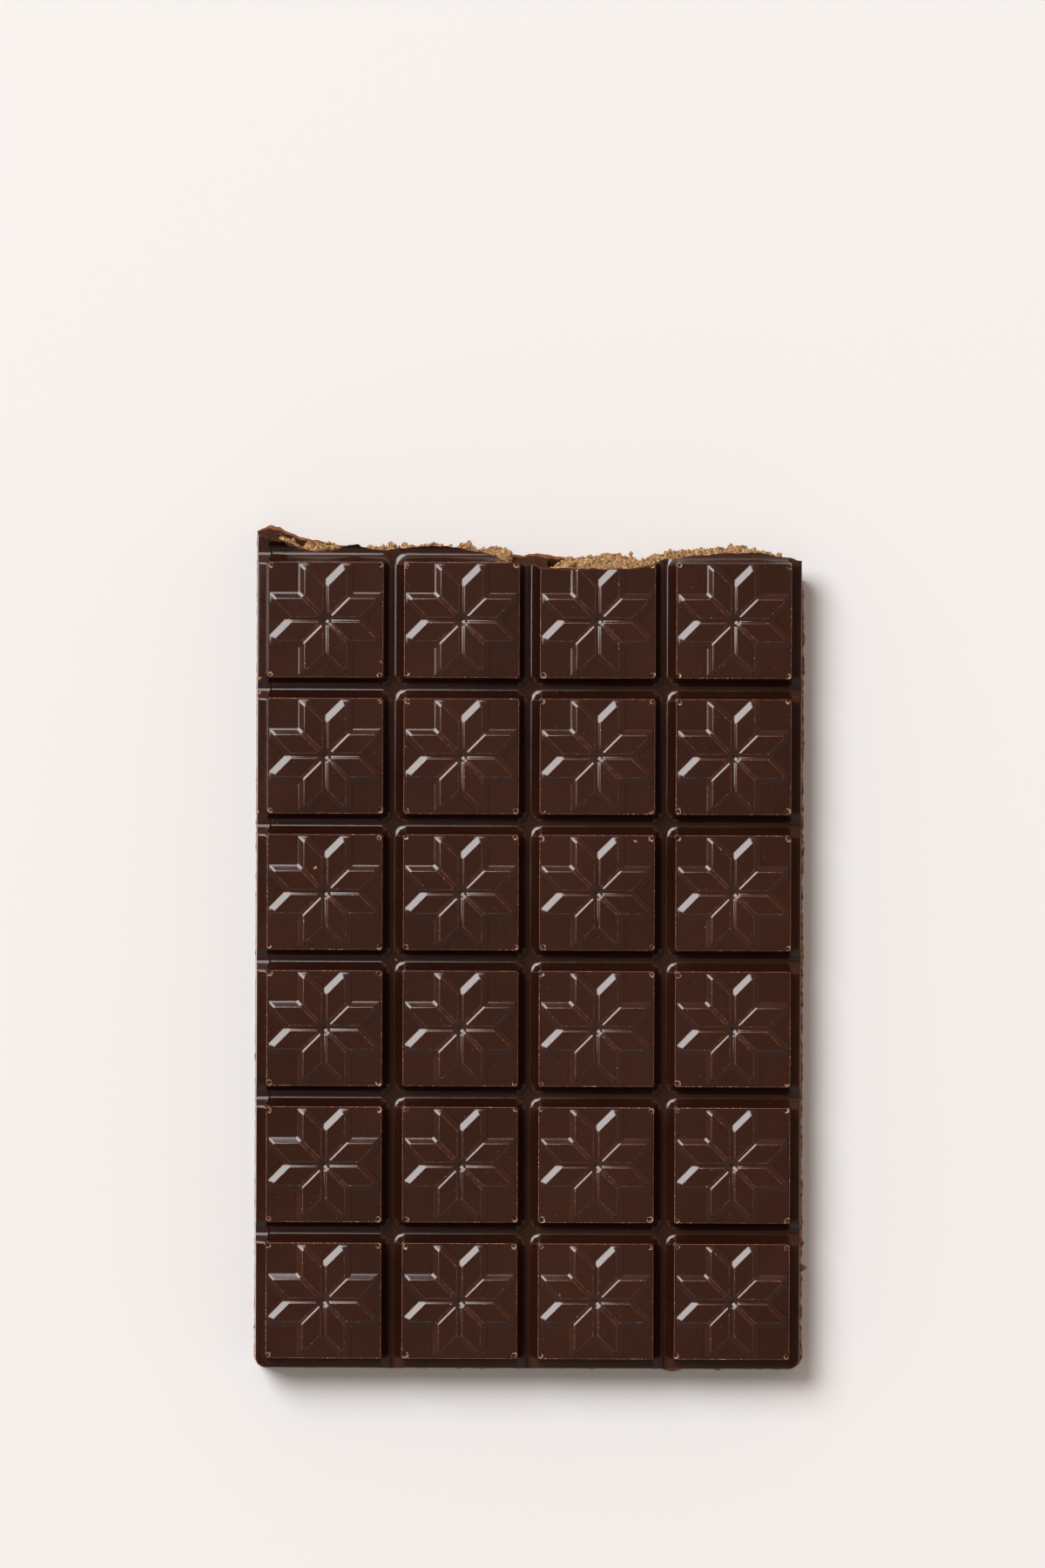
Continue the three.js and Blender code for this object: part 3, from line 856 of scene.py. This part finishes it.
for x, y, size in FLECKS:
    one = copy_of(shapes[len(crumbs) % CRUMB_SHAPES], "crumb")
    one.location = bar.ray_cast(Vector((x * MM, y * MM, ABOVE_ALL)), Vector((0, 0, -1)))[1]
    one.rotation_euler = (0, 0, crumb_draws.uniform(0, 2 * math.pi))
    one.scale = FLECK_SHAPE * size * MM
    crumbs.append(one)
for shape in shapes:
    bpy.data.objects.remove(shape)
crumb_heap = joined(crumbs, "loose_crumbs")
bpy.ops.object.transform_apply(location=True, rotation=True, scale=True)
crumb_heap.data.materials.append(filling_finish)
bpy.ops.object.shade_smooth_by_angle(angle=CRUMB_SMOOTH_ANGLE)
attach(crumb_heap, "root")

# Flash: the thin skin of chocolate that ran out under the mould's edge, along the back's edge
# on three sides. A narrow grid is wrapped into a three-sided strip and led round the outline.
FLASH_STEP = 0.22 * MM
FLASH_HEIGHT = 0.3 * MM
FLASH_ROOT = 0.3 * MM  # how far it reaches into the bar
FLASH_WIDTHS = (0.04, 0.1, 0.2)  # in mm: along the left side, the whole end and the right side
FLASH_NARROWEST = 0.01
FLASH_RAGGED = 0.9  # the share of the width that comes and goes
FLASH_TOOTH = 0.12  # in mm, how far the most ragged spots stand out past that
TOOTH_FROM = 0.45
FLASH_LIFT = 0.04 * MM  # how far its edge is off the table
FLASH_WELD = 0.0005 * MM  # closes the strip along its seam
FLASH_BURRS = (  # the side, the place along it, half a width and a height, in mm
    (2, -46.0, 0.45, 0.5), (2, -42.4, 0.3, 0.25), (1, 20.9, 1.5, 0.4), (1, 27.5, 0.5, 0.2),
)
START_PAST_SNAP = 2.6 * MM
END_BEFORE_SNAP = 4.6 * MM
corner = BAR_CORNER + DRAFT_RUN
half_width = WIDTH / 2 + DRAFT_RUN
end_y = whole_end - DRAFT_RUN
left_length = snap_y + START_PAST_SNAP - end_y - corner
arc_length = corner * math.pi / 2
end_length = 2 * (half_width - corner)
right_length = snap_y - END_BEFORE_SNAP - end_y - corner


def along_outline(way):
    """The point that far along the back's edge, the way out from it, and the side it is on."""
    if way < left_length:
        return Vector((-half_width, snap_y + START_PAST_SNAP - way)), Vector((-1, 0)), 0
    way -= left_length
    if way < arc_length:
        out = Vector((-math.cos(way / corner), -math.sin(way / corner)))
        return Vector((corner - half_width, end_y + corner)) + out * corner, out, 1
    way -= arc_length
    if way < end_length:
        return Vector((corner - half_width + way, end_y)), Vector((0, -1)), 1
    way -= end_length
    if way < arc_length:
        out = Vector((math.sin(way / corner), -math.cos(way / corner)))
        return Vector((half_width - corner, end_y + corner)) + out * corner, out, 2
    return Vector((half_width, end_y + corner + way - arc_length)), Vector((1, 0)), 2


def flash_width(spot, side):
    """How far the flash stands out: a ragged edge, with a few burrs at their own places."""
    ragged = noise.fractal((spot.x / MM, spot.y / MM, 4.4), 0.8, 2.0, 3)
    width = FLASH_WIDTHS[side] * (1 + FLASH_RAGGED * ragged)
    width += FLASH_TOOTH * max(0, ragged - TOOTH_FROM)
    for burr_side, place, half, height in FLASH_BURRS:
        off = abs((spot.y if side == 2 else spot.x) / MM - place) / half
        if side == burr_side and off < 1:
            width += height * (1 - off * off)
    return max(FLASH_NARROWEST, width) * MM


way_round = left_length + 2 * arc_length + end_length + right_length
rings = round(way_round / FLASH_STEP)
bpy.ops.mesh.primitive_grid_add(x_subdivisions=rings, y_subdivisions=3, size=2)
flash = settled("flash")
for vertex in flash.data.vertices:
    spot, out, side = along_outline((vertex.co.x + 1) / 2 * way_round)
    width = flash_width(spot, side)
    lift = FLASH_LIFT * (1 + noise.noise(Vector((spot.x / MM, spot.y / MM, 0))))
    ring = round((vertex.co.y + 1) / 2 * 3) % 3
    reach, height = ((-FLASH_ROOT, 0), (width, lift), (-FLASH_ROOT, FLASH_HEIGHT))[ring]
    vertex.co = (spot.x + out.x * reach, spot.y + out.y * reach, height)
into_edit()
bpy.ops.mesh.remove_doubles(threshold=FLASH_WELD)
bpy.ops.mesh.select_mode(type="EDGE")
bpy.ops.mesh.select_all(action="DESELECT")
bpy.ops.mesh.select_non_manifold()
bpy.ops.mesh.fill_holes(sides=3)
bpy.ops.mesh.select_all(action="SELECT")
bpy.ops.mesh.normals_make_consistent(inside=False)
bpy.ops.object.mode_set(mode="OBJECT")
flash_finish = bpy.data.materials.new("thin_flash")
FLASH_BROWN = (0.1, 0.04, 0.024, 1)
FLASH_GLOW_AMBER = (0.45, 0.21, 0.085, 1)
# The flash's brown and amber are lighter than the bar's: painted glow of light shining through the thin
# skin.
shader, place = shader_of(flash_finish)
thickness = mottle(flash_finish, place, 1.2 * MM, 3, 0.6)
share = between(flash_finish, thickness, 0.4, 0.62, 0, 1)
colour = blend_colours(flash_finish, share, FLASH_BROWN, FLASH_GLOW_AMBER)
link(flash_finish, colour, shader.inputs["Base Color"])
shader.inputs["Roughness"].default_value = 0.5
shader.inputs["Specular IOR Level"].default_value = 0.2
flash.data.materials.append(flash_finish)
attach(flash, "root")

# The floor: a wide pale sheet. It isn't part of the bar.
FLOOR_COLOUR = (0.8, 0.835, 0.855, 1)
FLOOR_SIDE = 6
FLOOR_DROP = 0.01 * MM
bpy.ops.mesh.primitive_plane_add(size=FLOOR_SIDE, location=(0, 0, -FLOOR_DROP))
floor = settled("floor")
paper = bpy.data.materials.new("paper")
shader, place = shader_of(paper)
shader.inputs["Base Color"].default_value = FLOOR_COLOUR
shader.inputs["Roughness"].default_value = 0.9
shader.inputs["Specular IOR Level"].default_value = 0.0
floor.data.materials.append(paper)
floor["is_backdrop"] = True

# The light: a round softbox at the upper left, and a dim room, warm behind the softbox and pale
# across from it. The softbox is set up twice: far away, where it lights matt surfaces and throws
# even shadows on the floor, and near, where the gloss mirrors it, brighter in its middle.
KEY_AZIMUTH = math.radians(133)
KEY_HEIGHT = math.radians(50)
KEY_DISTANCE = 6
KEY_SIZE = 3.6
KEY_POWER = 355
MIRRORED_DISCS = ((0.75, 0.72, 7.0), (0.74, 0.5, 2.8))  # distances, diameters and powers
ROOM_WARM = (0.5, 0.28, 0.18, 1)  # the sides behind the softbox
ROOM_PALE = (0.32, 0.31, 0.29, 1)  # the sides at the lower right
HORIZON = (1.1, 1.05, 1.0, 1)  # the low bright part of the room, all round
CEILING = (0.1, 0.065, 0.05, 1)
CEILING_BAND = (0.36, 0.26, 0.2, 1)  # a paler band straight overhead, along the bar
PALE_WAY = (0.4, -0.8, 0.1)  # the way to the pale side of the room
PALE_FROM_TO = (-0.3, 0.7)  # how far round towards it the pale begins and is full
HORIZON_TO_SIDES = (0.1, 0.5)  # heights, as the sine of the angle up
SIDES_TO_CEILING = (0.9, 0.96)
BAND_FADE = (0.02, 0.06)  # the band's half width, where it is full and where it ends
key_towards = Vector((
    math.cos(KEY_AZIMUTH) * math.cos(KEY_HEIGHT),
    math.sin(KEY_AZIMUTH) * math.cos(KEY_HEIGHT),
    math.sin(KEY_HEIGHT),
))


def softbox(name, distance, size, power):
    """A round lamp at the upper left that faces the bar and isn't seen itself."""
    lamp = bpy.data.lights.new(name, "AREA")
    lamp.shape = "DISK"
    lamp.size = size
    lamp.energy = power
    holder = bpy.data.objects.new(name, lamp)
    bpy.context.collection.objects.link(holder)
    holder.location = key_towards * distance
    holder.rotation_euler = key_towards.to_track_quat("Z", "Y").to_euler()
    holder.visible_camera = False
    return holder


softbox("key", KEY_DISTANCE, KEY_SIZE, KEY_POWER).visible_glossy = False
for number, (distance, size, power) in enumerate(MIRRORED_DISCS):
    softbox(f"mirrored_key_{number}", distance, size, power).visible_diffuse = False

room = bpy.data.worlds.new("room")
bpy.context.scene.world = room
room.use_nodes = True
sky = room.node_tree.nodes["Background"]
direction = node(room, "ShaderNodeTexCoord").outputs["Generated"]
facing = node(room, "ShaderNodeVectorMath", {"operation": "DOT_PRODUCT"})
facing.inputs[1].default_value = PALE_WAY
link(room, direction, facing.inputs[0])
share = between(room, facing.outputs["Value"], *PALE_FROM_TO, 0, 1)
sides = blend_colours(room, share, ROOM_WARM, ROOM_PALE)
split = node(room, "ShaderNodeSeparateXYZ")
link(room, direction, split.inputs["Vector"])
share = between(room, split.outputs["Z"], *HORIZON_TO_SIDES, 0, 1)
sides = blend_colours(room, share, HORIZON, sides)
off_middle = node(room, "ShaderNodeMath", {"operation": "ABSOLUTE"})
link(room, split.outputs["X"], off_middle.inputs[0])
band = between(room, off_middle.outputs["Value"], *BAND_FADE, 1, 0)
overhead = between(room, split.outputs["Z"], *SIDES_TO_CEILING, 0, 1)
ceiling = blend_colours(room, band, CEILING, CEILING_BAND)
link(room, blend_colours(room, overhead, sides, ceiling), sky.inputs["Color"])

# The camera looks straight down, as the photo does.
CAMERA_LEFT = 0.97 * MM
CAMERA_UP_THE_BAR = 25.3 * MM  # past the middle of the rows
CAMERA_HEIGHT = 1208.5 * MM
CAMERA_PLACE = Vector((-CAMERA_LEFT, whole_end + ROWS / 2 * PITCH + CAMERA_UP_THE_BAR, CAMERA_HEIGHT))
CAMERA_TURN = math.radians(0.2)
FRAME_HEIGHT = 224.5 * MM  # what the frame's long side covers at the squares' tops
SENSOR = 36
camera = bpy.data.objects.new("camera", bpy.data.cameras.new("camera"))
bpy.context.collection.objects.link(camera)
camera.location = CAMERA_PLACE
camera.rotation_euler = (0, 0, CAMERA_TURN)
camera.data.sensor_width = SENSOR
camera.data.lens = SENSOR * (CAMERA_PLACE.z - TOP_Z) / FRAME_HEIGHT
camera.data.clip_start = 0.01
camera.data.clip_end = 20
bpy.context.scene.camera = camera
bpy.context.scene.view_settings.view_transform = "Standard"

low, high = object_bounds()
